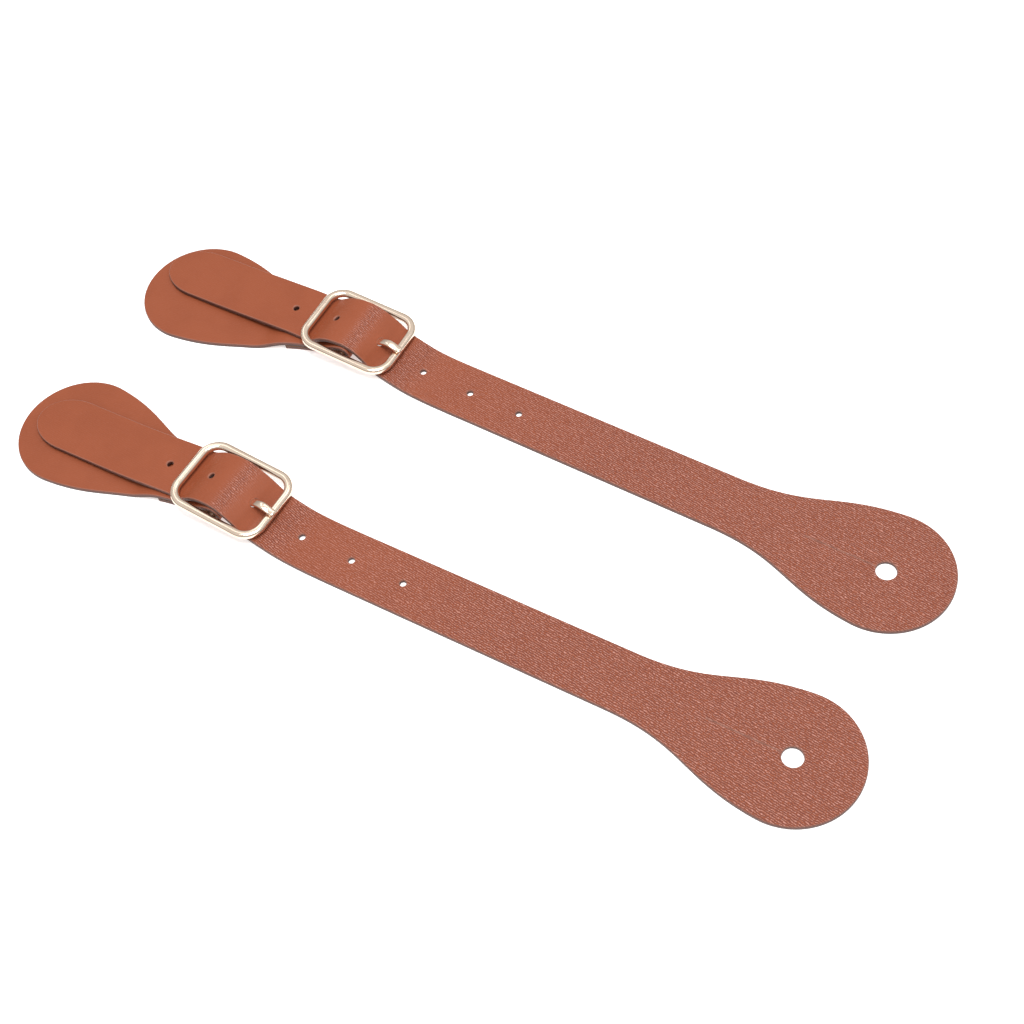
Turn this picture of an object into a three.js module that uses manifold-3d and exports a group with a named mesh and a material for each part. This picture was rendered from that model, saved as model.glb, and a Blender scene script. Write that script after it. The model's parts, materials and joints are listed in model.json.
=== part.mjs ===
// A pair of spur straps: leather straps that button onto a spur and buckle over the boot's instep.
// Millimetres, +Z up. X runs along the straps towards the billet lobes, Y from the near strap to the far one.
import * as THREE from 'three';
import { mergeVertices } from 'three/addons/utils/BufferGeometryUtils.js';
import Module from 'manifold-3d';

const wasm = await Module();
wasm.setup();

// Driving dimensions.
const STRAP_WIDTH = 24;
const LEATHER = 1.8;
const GAP = 0.3;
const LOBE_RADIUS = 25.05;
const LOBE_ARC_END = 1.49;
const NECK_END = 63.4;
const NECK_HANDLE_LOBE = 27.5;
const NECK_HANDLE_STRAP = 30.1;
const BUTTON_HOLE_RADIUS = 3.8;
const BUTTON_HOLE_OFFSET = -0.5;
const SLIT_END = 31;
const SLIT_WIDTH = 0.5;
const PUNCH_RADIUS = 1.25;
const FIRST_HOLE = 152.4;
const HOLE_PITCH = 22.6;
const HOLE_COUNT = 6;
const PRONG_HOLE = 3;
const TIP_ROUND = 17;

// The buckle is a flat frame with a centre bar, tilted because its left bar lies on three layers.
const FRAME_LENGTH = 39;
const FRAME_WIDTH = 29.5;
const FRAME_CORNER = 7.0;
const BAR_WIDTH = 3.4;
const BAR_THICKNESS = 2.8;
const BAR_BEVEL = 1.1;
const FRAME_HEIGHT = 6.8;
const FRAME_TILT = THREE.MathUtils.degToRad(5.5);
const CENTRE_BAR_RADIUS = 1.4;
const CENTRE_BAR_DROP = 0.6;
const CENTRE_BAR_HEIGHT = FRAME_HEIGHT - CENTRE_BAR_DROP;

const PRONG_WIDTH = 2.4;
const PRONG_THICKNESS = 1.6;
const PRONG_LIFT = THREE.MathUtils.degToRad(9);
const PRONG_YAW = THREE.MathUtils.degToRad(-5);
const PRONG_TAPER = 0.25;
const PRONG_EYE_RADIUS = 2.6;
const PRONG_SLOT = 4.4;
const PRONG_SLOT_START = -3.3;

// The prong's arm from the side, as [x, z] from the centre bar: over the billet's hole, down to the toe bar.
const PRONG_ARM = [[1.9, 0.2], [7.5, 0.5], [12.6, 2.2], [16.2, 2.9], [19.4, 1.5], [22.3, 0.9]];

// Along the billet, from its lobe's centre.
const BILLET_FLEX = 66;
const BILLET_LENGTH = 327.3;

// Along the strap, from the centre bar.
const TAIL_FLEX_X = -38;
const TIP_CURL_X = -62;
const FOLD_FLEX_X = -42;
const FOLD_BACK_END_X = -27;
const FOLD_SIDE_PLAY = -0.6;
const BUCKLE_LOBE_X = -76.6;
const RIVET_X = -11.8;
const RIVET_SPREAD = 6.5;
const RIVET_TILT = Math.atan(0.17);
const RIVET_SHANK_RADIUS = 1.1;
const RIVET_HEAD_RADIUS = 2.1;
const RIVET_HEAD = 0.4;
const RIVET_HEAD_EDGE = 0.15;
const RIVET_HEAD_CROWN = 0.5;

// How each strap of the pair lies: its place, and how far its buckle end has been pushed sideways.
const STRAPS = [
  {
    name: 'near',
    y: -44.4,
    yaw: THREE.MathUtils.degToRad(1.03),
    lobeToBar: 231.6,
    buckleY: 4.3,
    buckleYaw: THREE.MathUtils.degToRad(-1.3),
    lobeShift: -2.7,
    billetSway: [[-96, 3.5, 0], [-50, 3.7, 0], [-30, 4.2, 0.03], [-20, 4.6, 0], [-5, 4.4, -0.04],
      [12, 3.1, -0.11], [34, 0.5, -0.06], [60, 0, 0]],
  },
  {
    name: 'far',
    y: 44.4,
    yaw: THREE.MathUtils.degToRad(-1.03),
    lobeToBar: 230.3,
    buckleY: 3.0,
    buckleYaw: THREE.MathUtils.degToRad(2.5),
    lobeShift: -5.7,
    billetSway: [[-96, 1.0, 0.01], [-76, 1.3, 0.02], [-52, 1.9, 0.03], [-30, 2.3, 0.02], [-20, 2.4, 0.02],
      [-5, 2.9, 0.02], [12, 3.1, -0.08], [34, 0.4, -0.06], [60, 0, 0]],
  },
];

// Height of the billet's middle surface: flat on the table, over the centre bar, under the left bar.
const BILLET_RISE = [[-96, 3.0, 0.03], [-60, 3.75, 0.025], [-38, 4.7, 0.05], [-27, 5.2, 0.02],
  [-19.5, 5.3, 0.05], [-16, 5.65, 0.4], [-10, 9.1, 0.44], [0, 10.9, -0.04], [10, 6.3, -0.66],
  [13, 4.05, -0.7], [16, 2.15, -0.34], [19.4, 1.55, -0.06], [44, LEATHER / 2, 0]];

// Cutters go well past the leather. Curves are walked in small steps.
const CUTTER_REACH = 12;
const WALK_STEP = 0.1;

const leather = new THREE.MeshStandardMaterial({ color: 0xb06752, roughness: 0.55, metalness: 0 });
const gold = new THREE.MeshStandardMaterial({ color: 0xe3cda4, roughness: 0.2, metalness: 1 });
const rivetMetal = new THREE.MeshStandardMaterial({ color: 0xd9c39c, roughness: 0.3, metalness: 1 });

// ---- Solids -------------------------------------------------------------------------------------

function toSolid(geometry) {
  const bare = geometry.clone();
  bare.deleteAttribute('normal');
  bare.deleteAttribute('uv');
  const merged = mergeVertices(bare, 1e-4);
  const vertProperties = new Float32Array(merged.attributes.position.array);
  const triVerts = new Uint32Array(merged.index.array);
  return new wasm.Manifold(new wasm.Mesh({ numProp: 3, vertProperties, triVerts }));
}

function toGeometry(solid) {
  const mesh = solid.getMesh();
  const geometry = new THREE.BufferGeometry();
  geometry.setAttribute('position', new THREE.BufferAttribute(new Float32Array(mesh.vertProperties), 3));
  geometry.setIndex(new THREE.BufferAttribute(new Uint32Array(mesh.triVerts), 1));
  geometry.computeVertexNormals();
  return geometry;
}

function cutAway(geometry, cutters) {
  return toGeometry(cutters.reduce((solid, cutter) => solid.subtract(toSolid(cutter)), toSolid(geometry)));
}

// ---- Curves -------------------------------------------------------------------------------------

// A smooth function through knots of [x, value, slope], straight beyond the last knots.
function throughKnots(knots) {
  return (x) => {
    const first = knots[0];
    const last = knots[knots.length - 1];
    if (x <= first[0]) return first[1] + first[2] * (x - first[0]);
    if (x >= last[0]) return last[1] + last[2] * (x - last[0]);
    const i = knots.findIndex((knot) => knot[0] > x) - 1;
    const [x0, v0, s0] = knots[i];
    const [x1, v1, s1] = knots[i + 1];
    const w = x1 - x0;
    const t = (x - x0) / w;
    const a = (1 + 2 * t) * (1 - t) ** 2;
    const b = t * (1 - t) ** 2;
    const c = t * t * (3 - 2 * t);
    const d = t * t * (t - 1);
    return a * v0 + b * w * s0 + c * v1 + d * w * s1;
  };
}

function slopeOf(f, x) {
  return (f(x + WALK_STEP / 2) - f(x - WALK_STEP / 2)) / WALK_STEP;
}

// Half width of a lobe and its neck, at a distance from the lobe's centre towards the strap.
const neckCurve = new THREE.CubicBezierCurve(
  new THREE.Vector2(LOBE_RADIUS * Math.cos(LOBE_ARC_END), LOBE_RADIUS * Math.sin(LOBE_ARC_END)),
  new THREE.Vector2(
    LOBE_RADIUS * Math.cos(LOBE_ARC_END) + NECK_HANDLE_LOBE * Math.sin(LOBE_ARC_END),
    LOBE_RADIUS * Math.sin(LOBE_ARC_END) - NECK_HANDLE_LOBE * Math.cos(LOBE_ARC_END),
  ),
  new THREE.Vector2(NECK_END - NECK_HANDLE_STRAP, STRAP_WIDTH / 2),
  new THREE.Vector2(NECK_END, STRAP_WIDTH / 2),
);

function neckHalfWidth(distance) {
  if (distance >= NECK_END) return STRAP_WIDTH / 2;
  let low = 0;
  let high = 1;
  for (let step = 0; step < 30; step += 1) {
    const middle = (low + high) / 2;
    if (neckCurve.getPoint(middle).x < distance) low = middle;
    else high = middle;
  }
  return neckCurve.getPoint(low).y;
}

// ---- Leather ------------------------------------------------------------------------------------

// A strip of leather along stations { x, y, z, yaw, slope, half, thickness }, as one closed body.
function ribbon(stations) {
  const positions = [];
  for (const s of stations) {
    const across = new THREE.Vector3(-Math.sin(s.yaw), Math.cos(s.yaw), 0);
    const up = new THREE.Vector3(-Math.cos(s.yaw) * Math.sin(s.slope), -Math.sin(s.yaw) * Math.sin(s.slope),
      Math.cos(s.slope));
    const centre = new THREE.Vector3(s.x, s.y, s.z);
    for (const [side, face] of [[1, 1], [-1, 1], [-1, -1], [1, -1]]) {
      positions.push(...centre.clone().addScaledVector(across, side * s.half)
        .addScaledVector(up, face * s.thickness / 2).toArray());
    }
  }
  const last = (stations.length - 1) * 4;
  const index = [0, 2, 1, 0, 3, 2, last, last + 1, last + 2, last, last + 2, last + 3];
  for (let i = 0; i < stations.length - 1; i += 1) {
    for (let corner = 0; corner < 4; corner += 1) {
      const a = i * 4 + corner;
      const b = i * 4 + (corner + 1) % 4;
      index.push(a, b, a + 4, b, b + 4, a + 4);
    }
  }
  const geometry = new THREE.BufferGeometry();
  geometry.setAttribute('position', new THREE.Float32BufferAttribute(positions, 3));
  geometry.setIndex(index);
  geometry.computeVertexNormals();
  return geometry;
}

// A strip that bends about a flex line starts this far past it.
const FLEX_BACKSET = LEATHER / 2 + GAP;
const KNUCKLE_TURNS = [35, 65, 86];

// Rounds the end of the strip that it bends on, over the flex line.
function knuckle(station, direction) {
  return KNUCKLE_TURNS.map((degrees) => {
    const angle = THREE.MathUtils.degToRad(degrees);
    const reach = direction * Math.sin(angle) * LEATHER / 2;
    return {
      ...station,
      x: station.x + reach * Math.cos(station.slope) * Math.cos(station.yaw),
      y: station.y + reach * Math.cos(station.slope) * Math.sin(station.yaw),
      z: station.z + reach * Math.sin(station.slope),
      thickness: LEATHER * Math.cos(angle),
    };
  });
}

function billetStation(strap, x) {
  const sway = throughKnots(strap.billetSway);
  const rise = throughKnots(BILLET_RISE);
  return {
    x,
    y: sway(x),
    z: rise(x),
    yaw: Math.atan(slopeOf(sway, x)),
    slope: Math.atan(slopeOf(rise, x)),
    half: STRAP_WIDTH / 2,
    thickness: LEATHER,
  };
}

// Walks back from the billet lobe's centre and gives the station at each hole.
function billetHoleStations(strap) {
  const rise = throughKnots(BILLET_RISE);
  const holes = [];
  let travelled = 0;
  for (let x = strap.lobeToBar; holes.length < HOLE_COUNT; x -= WALK_STEP) {
    travelled += Math.hypot(WALK_STEP, rise(x) - rise(x - WALK_STEP));
    if (travelled >= FIRST_HOLE + holes.length * HOLE_PITCH) holes.push(billetStation(strap, x));
  }
  return holes;
}

function punch(station) {
  const cutter = new THREE.CylinderGeometry(PUNCH_RADIUS, PUNCH_RADIUS, 4 * LEATHER, 12);
  cutter.rotateX(Math.PI / 2);
  cutter.rotateY(-station.slope);
  cutter.rotateZ(station.yaw);
  cutter.translate(station.x, station.y, station.z);
  return cutter;
}

// The flat lobe with its neck, its round button hole and the slit that lets a spur's button through.
function lobe(length) {
  const outline = new THREE.Shape();
  const [start, nearLobe, nearStrap, end] = [neckCurve.v0, neckCurve.v1, neckCurve.v2, neckCurve.v3];
  const reach = NECK_END + CUTTER_REACH / 2;
  outline.moveTo(reach, end.y);
  outline.lineTo(end.x, end.y);
  outline.bezierCurveTo(nearStrap.x, nearStrap.y, nearLobe.x, nearLobe.y, start.x, start.y);
  outline.absarc(0, 0, LOBE_RADIUS, LOBE_ARC_END, 2 * Math.PI - LOBE_ARC_END, false);
  outline.bezierCurveTo(nearLobe.x, -nearLobe.y, nearStrap.x, -nearStrap.y, end.x, -end.y);
  outline.lineTo(reach, -end.y);
  outline.closePath();
  const hole = new THREE.Path();
  const mouth = Math.asin(SLIT_WIDTH / 2 / BUTTON_HOLE_RADIUS);
  hole.moveTo(SLIT_END, SLIT_WIDTH / 2);
  hole.lineTo(BUTTON_HOLE_OFFSET + BUTTON_HOLE_RADIUS * Math.cos(mouth), SLIT_WIDTH / 2);
  hole.absarc(BUTTON_HOLE_OFFSET, 0, BUTTON_HOLE_RADIUS, mouth, 2 * Math.PI - mouth, false);
  hole.lineTo(SLIT_END, -SLIT_WIDTH / 2);
  hole.closePath();
  outline.holes.push(hole);
  const cut = { depth: LEATHER, bevelEnabled: false, curveSegments: 14 };
  const sheet = new THREE.ExtrudeGeometry(outline, cut);
  const rest = 2 * LOBE_RADIUS;
  const beyond = new THREE.BoxGeometry(rest, rest, CUTTER_REACH).translate(length + rest / 2, 0, 0);
  return cutAway(sheet, [beyond]);
}

// ---- Buckle -------------------------------------------------------------------------------------

function roundedRectangle(length, width, radius, path) {
  const x = length / 2;
  const y = width / 2;
  path.moveTo(x - radius, y);
  path.lineTo(-x + radius, y);
  path.absarc(-x + radius, y - radius, radius, Math.PI / 2, Math.PI, false);
  path.lineTo(-x, -y + radius);
  path.absarc(-x + radius, -y + radius, radius, Math.PI, 1.5 * Math.PI, false);
  path.lineTo(x - radius, -y);
  path.absarc(x - radius, -y + radius, radius, 1.5 * Math.PI, 2 * Math.PI, false);
  path.lineTo(x, y - radius);
  path.absarc(x - radius, y - radius, radius, 0, Math.PI / 2, false);
  path.closePath();
  return path;
}

function buckleFrame() {
  const core = BAR_WIDTH / 2 - BAR_BEVEL;
  const outer = roundedRectangle(FRAME_LENGTH + 2 * core, FRAME_WIDTH + 2 * core, FRAME_CORNER + core,
    new THREE.Shape());
  outer.holes.push(roundedRectangle(FRAME_LENGTH - 2 * core, FRAME_WIDTH - 2 * core, FRAME_CORNER - core,
    new THREE.Path()));
  const ring = new THREE.ExtrudeGeometry(outer, {
    depth: BAR_THICKNESS - 2 * BAR_BEVEL,
    bevelEnabled: true,
    bevelThickness: BAR_BEVEL,
    bevelSize: BAR_BEVEL,
    bevelSegments: 2,
    curveSegments: 5,
  });
  ring.translate(0, 0, -BAR_THICKNESS / 2 + BAR_BEVEL);
  const bar = new THREE.CylinderGeometry(CENTRE_BAR_RADIUS, CENTRE_BAR_RADIUS, FRAME_WIDTH, 16);
  bar.translate(0, 0, -CENTRE_BAR_DROP);
  return toGeometry(toSolid(ring).add(toSolid(bar)));
}

// The prong's arm seen from the side, from its eye on the centre bar to its tip on the toe bar.
function prongArm(thickness) {
  const points = PRONG_ARM.map(([x, z]) => new THREE.Vector3(x, 0, z));
  const spine = new THREE.CatmullRomCurve3(points, false, 'centripetal');
  const steps = 14;
  const upper = [];
  const lower = [];
  for (let i = 0; i <= steps; i += 1) {
    const p = spine.getPoint(i / steps);
    const t = spine.getTangent(i / steps);
    const taper = 1 - PRONG_TAPER * (i / steps) ** 3;
    upper.push(new THREE.Vector2(p.x - t.z * thickness * taper / 2, p.z + t.x * thickness * taper / 2));
    lower.push(new THREE.Vector2(p.x + t.z * thickness * taper / 2, p.z - t.x * thickness * taper / 2));
  }
  return new THREE.Shape([...lower, ...upper.reverse()]);
}

// Extrudes a side view (x, z) across the strap, centred on the prong.
function acrossStrap(shape, width) {
  const geometry = new THREE.ExtrudeGeometry(shape, { depth: width, bevelEnabled: false, curveSegments: 9 });
  geometry.rotateX(Math.PI / 2);
  geometry.translate(0, width / 2, 0);
  return geometry;
}

function buckleProng() {
  const eye = new THREE.Shape();
  eye.absarc(0, 0, PRONG_EYE_RADIUS, 0, 2 * Math.PI, false);
  const bore = new THREE.Path();
  bore.absarc(0, 0, CENTRE_BAR_RADIUS + GAP, 0, 2 * Math.PI, false);
  eye.holes.push(bore);
  const ring = toSolid(acrossStrap(eye, PRONG_WIDTH));
  const arm = toSolid(acrossStrap(prongArm(PRONG_THICKNESS), PRONG_WIDTH));
  return toGeometry(ring.add(arm));
}

// The space that the prong sweeps through the billet while it lifts, at these shares of its lift.
const PRONG_SWEEP = [-0.1, 0.45, 1];

function prongClearance(strap) {
  return PRONG_SWEEP.map((share) => {
    const cutter = acrossStrap(prongArm(PRONG_THICKNESS + 2 * GAP), PRONG_WIDTH + 3 * GAP);
    cutter.rotateZ(PRONG_YAW);
    cutter.rotateY(-PRONG_LIFT * share);
    cutter.rotateZ(strap.buckleYaw);
    cutter.translate(0, strap.buckleY, CENTRE_BAR_HEIGHT);
    return cutter;
  });
}

// ---- Buckle strap's fold ------------------------------------------------------------------------

const WRAP_RADIUS = CENTRE_BAR_RADIUS + GAP + LEATHER / 2;
const TOP_OF_WRAP = CENTRE_BAR_HEIGHT + WRAP_RADIUS;
const FOOT_OF_WRAP = CENTRE_BAR_HEIGHT - WRAP_RADIUS;
const UPPER_LAYER = [[FOLD_FLEX_X, LEATHER / 2, 0], [-39, LEATHER / 2, 0], [FOLD_BACK_END_X, 3.0, 0.02],
  [-20, 3.1, 0.05], [RIVET_X, 4.3, 0.18], [-8.5, 5.3, 0.42], [-5, 7.1, 0.5], [0, TOP_OF_WRAP, 0]];
const LOWER_LAYER = [[FOLD_BACK_END_X, LEATHER / 2, 0], [-20, 1.0, 0.05], [RIVET_X, 2.1, 0.14],
  [0, FOOT_OF_WRAP, 0]];

// Sideways drift of the folded strap between the centre bar and its own lobe.
function foldSway(strap, x) {
  const sway = throughKnots([[FOLD_FLEX_X, strap.lobeShift, 0], [RIVET_X, FOLD_SIDE_PLAY, 0]]);
  return { y: sway(x), yaw: 0 };
}

function foldStation(strap, x, z, slope) {
  return {
    x,
    z,
    slope,
    ...foldSway(strap, x),
    half: neckHalfWidth(x - BUCKLE_LOBE_X),
    thickness: LEATHER,
  };
}

function layerStations(strap, knots, xs) {
  const height = throughKnots(knots);
  return xs.map((x) => foldStation(strap, x, height(x), Math.atan(slopeOf(height, x))));
}

function range(start, end, count) {
  return Array.from({ length: count + 1 }, (_, i) => start + (end - start) * i / count);
}

function buckleFold(strap) {
  const upper = layerStations(strap, UPPER_LAYER, range(FOLD_FLEX_X, -0.3, 26));
  const wrap = range(85, -85, 10).map((degrees) => {
    const angle = THREE.MathUtils.degToRad(degrees);
    const x = WRAP_RADIUS * Math.cos(angle);
    const z = CENTRE_BAR_HEIGHT + WRAP_RADIUS * Math.sin(angle);
    return foldStation(strap, x, z, angle - Math.PI / 2);
  });
  const lower = layerStations(strap, LOWER_LAYER, range(-0.3, FOLD_BACK_END_X, 14))
    .map((s) => ({ ...s, slope: s.slope - Math.PI }));
  const strip = ribbon([...knuckle(upper[0], -1).reverse(), ...upper, ...wrap, ...lower]);
  const slot = new THREE.BoxGeometry(CUTTER_REACH, PRONG_SLOT, CUTTER_REACH);
  slot.translate(PRONG_SLOT_START + CUTTER_REACH / 2, 0, CENTRE_BAR_HEIGHT);
  const rivetHoles = rivetPlaces().map((place) => {
    const radius = RIVET_SHANK_RADIUS + GAP;
    const cutter = new THREE.CylinderGeometry(radius, radius, CUTTER_REACH, 12);
    cutter.rotateX(Math.PI / 2);
    cutter.rotateY(-RIVET_TILT);
    cutter.translate(place.x, place.y, place.z);
    return cutter;
  });
  return cutAway(strip, [slot, ...rivetHoles]);
}

function rivetPlaces() {
  const z = (throughKnots(UPPER_LAYER)(RIVET_X) + throughKnots(LOWER_LAYER)(RIVET_X)) / 2;
  return [-1, 1].map((side) => ({ x: RIVET_X, y: FOLD_SIDE_PLAY + side * RIVET_SPREAD, z }));
}

// The rivet's heads stand this far from midway between the two layers that it joins.
const LAYER_SPREAD = throughKnots(UPPER_LAYER)(RIVET_X) - throughKnots(LOWER_LAYER)(RIVET_X);
const OUTER_FACE = LAYER_SPREAD / 2 + LEATHER / 2 + GAP;

function foldRivet() {
  const half = [[RIVET_SHANK_RADIUS, OUTER_FACE], [RIVET_HEAD_RADIUS, OUTER_FACE],
    [RIVET_HEAD_RADIUS, OUTER_FACE + RIVET_HEAD_EDGE],
    [RIVET_HEAD_RADIUS - RIVET_HEAD_CROWN, OUTER_FACE + RIVET_HEAD], [0, OUTER_FACE + RIVET_HEAD]];
  const profile = [...half.map(([r, h]) => [r, -h]).reverse(), ...half];
  const geometry = new THREE.LatheGeometry(profile.map(([r, h]) => new THREE.Vector2(r, h)), 16);
  geometry.rotateX(Math.PI / 2);
  return toGeometry(toSolid(geometry));
}

// ---- One strap ----------------------------------------------------------------------------------

function node(name, geometry, material) {
  const mesh = new THREE.Mesh(geometry, material);
  mesh.name = name;
  return mesh;
}

function billetRun(strap) {
  const flexX = strap.lobeToBar - BILLET_FLEX;
  const overBuckle = [...range(TAIL_FLEX_X, -20, 9), ...range(-18, 24, 26)];
  const xs = [...overBuckle, ...range(27, 45, 5), 60, flexX];
  const stations = xs.map((x) => billetStation(strap, x));
  const ends = [knuckle(stations[0], -1).reverse(), knuckle(stations[stations.length - 1], 1)];
  const holes = billetHoleStations(strap).filter((_, i) => i !== PRONG_HOLE).map(punch);
  return cutAway(ribbon([...ends[0], ...stations, ...ends[1]]), [...holes, ...prongClearance(strap)]);
}

// The billet's free tail, from the buckle to where its tip curls.
function billetTail(strap) {
  const stations = range(TIP_CURL_X, TAIL_FLEX_X - FLEX_BACKSET, 4).map((x) => billetStation(strap, x));
  return ribbon([...knuckle(stations[0], -1).reverse(), ...stations]);
}

function billetTip(strap) {
  const endX = strap.lobeToBar - BILLET_LENGTH;
  const straight = range(TIP_CURL_X - FLEX_BACKSET, endX + TIP_ROUND, 3);
  const rounded = [20, 35, 50, 62, 73, 82].map((degrees) => THREE.MathUtils.degToRad(degrees));
  const stations = straight.map((x) => billetStation(strap, x));
  for (const angle of rounded) {
    const station = billetStation(strap, endX + TIP_ROUND * (1 - Math.sin(angle)));
    stations.push({ ...station, half: Math.cos(angle) * STRAP_WIDTH / 2 });
  }
  return ribbon(stations.reverse());
}

function buildStrap(strap) {
  const group = new THREE.Group();
  group.position.set(0, strap.y, 0);
  group.rotation.z = strap.yaw;

  const billetLobe = node(`${strap.name}_billet_lobe`, lobe(BILLET_FLEX - FLEX_BACKSET), leather);
  billetLobe.position.set(strap.lobeToBar, 0, 0);
  billetLobe.rotation.z = Math.PI;
  group.add(billetLobe);
  group.add(node(`${strap.name}_billet_run`, billetRun(strap), leather));
  group.add(node(`${strap.name}_billet_tail`, billetTail(strap), leather));
  group.add(node(`${strap.name}_billet_tip`, billetTip(strap), leather));

  const buckleEnd = new THREE.Group();
  buckleEnd.position.set(0, strap.buckleY, 0);
  buckleEnd.rotation.z = strap.buckleYaw;
  group.add(buckleEnd);

  const buckleLobe = node(`${strap.name}_buckle_lobe`,
    lobe(FOLD_FLEX_X - BUCKLE_LOBE_X - FLEX_BACKSET), leather);
  buckleLobe.position.set(BUCKLE_LOBE_X, strap.lobeShift, 0);
  buckleEnd.add(buckleLobe);
  buckleEnd.add(node(`${strap.name}_buckle_fold`, buckleFold(strap), leather));

  const frame = node(`${strap.name}_buckle_frame`, buckleFrame(), gold);
  frame.position.set(0, 0, FRAME_HEIGHT);
  frame.rotation.y = FRAME_TILT;
  buckleEnd.add(frame);

  const prong = node(`${strap.name}_buckle_prong`, buckleProng(), gold);
  prong.position.set(0, 0, CENTRE_BAR_HEIGHT);
  prong.rotation.z = PRONG_YAW;
  buckleEnd.add(prong);

  rivetPlaces().forEach((place, i) => {
    const rivet = node(`${strap.name}_fold_rivet_${i + 1}`, foldRivet(), rivetMetal);
    rivet.position.set(place.x, place.y, place.z);
    rivet.rotation.y = -RIVET_TILT;
    buckleEnd.add(rivet);
  });
  return group;
}

const pair = new THREE.Group();
STRAPS.forEach((strap) => pair.add(buildStrap(strap)));

// The origin is on the table under the middle of the pair.
const box = new THREE.Box3().setFromObject(pair);
const middle = box.getCenter(new THREE.Vector3());
pair.position.set(-middle.x, -middle.y, -box.min.z);

export default pair;
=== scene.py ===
"""Looks for a pair of spur straps: leather cut flat with its holes, then bent along the straps' paths."""

from collections import namedtuple
import json
import math

import bpy
import numpy as np
from mathutils import Matrix, Vector
from mathutils.geometry import delaunay_2d_cdt


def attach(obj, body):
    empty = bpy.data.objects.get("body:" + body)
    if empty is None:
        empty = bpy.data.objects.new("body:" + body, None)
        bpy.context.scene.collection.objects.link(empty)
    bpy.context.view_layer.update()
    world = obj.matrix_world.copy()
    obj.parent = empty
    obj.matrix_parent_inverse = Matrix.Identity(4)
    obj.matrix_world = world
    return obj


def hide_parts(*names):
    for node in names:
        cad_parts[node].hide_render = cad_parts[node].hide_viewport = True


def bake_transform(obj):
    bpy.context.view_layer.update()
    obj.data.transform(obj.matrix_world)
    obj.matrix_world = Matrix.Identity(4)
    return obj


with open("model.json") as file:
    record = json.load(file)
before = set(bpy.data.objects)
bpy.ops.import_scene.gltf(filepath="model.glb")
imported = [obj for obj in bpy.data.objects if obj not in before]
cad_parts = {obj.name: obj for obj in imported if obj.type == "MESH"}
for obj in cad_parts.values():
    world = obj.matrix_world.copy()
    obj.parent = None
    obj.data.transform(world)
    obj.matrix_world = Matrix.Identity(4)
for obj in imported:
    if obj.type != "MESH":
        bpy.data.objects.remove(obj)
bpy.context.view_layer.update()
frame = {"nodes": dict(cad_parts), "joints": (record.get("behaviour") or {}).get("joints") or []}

MM = 0.001
SIDES = ("near", "far")

# ---- Driving dimensions, in millimetres ----------------------------------------------------------

STRAP_HALF = 12.0
LEATHER = 1.8
GAP = 0.3
LOBE_RADIUS = 25.05
LOBE_ARC_END = 1.49
NECK_END = 63.4
NECK_HANDLE_LOBE = 27.5
NECK_HANDLE_STRAP = 30.1
BUTTON_HOLE_RADIUS = 3.8
BUTTON_HOLE_OFFSET = -0.5
SLIT_END = 31.0
SLIT_HALF = 0.02
PUNCH_RADIUS = 1.25
FIRST_HOLE = 152.4
HOLE_PITCH = 22.6
HOLE_COUNT = 6
PRONG_HOLE = 3
TIP_ROUND = 17.0
BILLET_LENGTH = 327.3
BILLET_FLEX = 66.0

FRAME_LENGTH = 39.0
FRAME_WIDTH = 29.5
FRAME_CORNER = 7.0
BAR_WIDTH = 3.4
BAR_THICKNESS = 2.8
FRAME_HEIGHT = 6.8
FRAME_TILT = math.radians(5.5)
CENTRE_BAR_RADIUS = 1.4
CENTRE_BAR_HEIGHT = 6.2

PRONG_YAW = math.radians(-5)
PRONG_ARM = [(2.0, 0.0), (5.0, -0.35), (8.0, -0.35), (10.4, 0.2), (13.2, 1.5), (16.2, 2.15), (19.3, 1.3),
             (22.1, 0.85)]
PRONG_WIDTH = 3.3
PRONG_THICKNESS = 1.6
EYE_RADIUS = 2.15
PRONG_HOLE_X = 10.8
PRONG_HOLE_REACH = 1.25
PRONG_HOLE_SHIFT = 0.2
PRONG_HOLE_STEPS = 28
PUNCH_STEPS = 20
BUTTON_HOLE_STEPS = 56
TIP_STEPS = 40
PRONG_SLOT_HALF = 2.2
PRONG_SLOT_END = -3.3

FOLD_FLEX_X = -42.0
FOLD_BACK_END_X = -27.0
FOLD_SIDE_PLAY = -0.6
BUCKLE_LOBE_X = -76.6
TAIL_FLEX_X = -38.0
TIP_CURL_X = -62.0
RIVET_X = -11.8
BEND_REACH = 8.0      # how far to each side of a flex line bend() finds its two points on the leather
TAIL_SPLIT_X = -50.0  # where the billet's mesh is divided, between one bend and the next
RUN_SPLIT_X = 60.0
FINE_MESH_X = 30.0    # the billet's mesh is finer within this distance of the centre bar
FOLD_FINE_X = -20.0

LOBE_TO_BAR = {"near": 231.6, "far": 230.3}
BUCKLE_SIDE = {"near": 4.3, "far": 3.0}
LOBE_SHIFT = {"near": -2.7, "far": -5.7}
BILLET_SWAY = {
    "near": [(-96, 3.5, 0), (-50, 3.7, 0), (-30, 4.2, 0.03), (-20, 4.6, 0), (-5, 4.4, -0.04),
             (12, 3.1, -0.11), (34, 0.5, -0.06), (60, 0, 0)],
    "far": [(-96, 1.0, 0.01), (-76, 1.3, 0.02), (-52, 1.9, 0.03), (-30, 2.3, 0.02), (-20, 2.4, 0.02),
            (-5, 2.9, 0.02), (12, 3.1, -0.08), (34, 0.4, -0.06), (60, 0, 0)],
}
BILLET_RISE = [(-96, 3.0, 0.03), (-60, 3.75, 0.025), (-38, 4.7, 0.05), (-27, 5.2, 0.02),
               (-19.5, 5.3, 0.05), (-16, 5.65, 0.4), (-10, 9.1, 0.44), (0, 10.9, -0.04),
               (10, 6.3, -0.66), (13, 4.05, -0.7), (16, 2.15, -0.34), (19.4, 1.55, -0.06),
               (44, LEATHER / 2, 0)]
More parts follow.
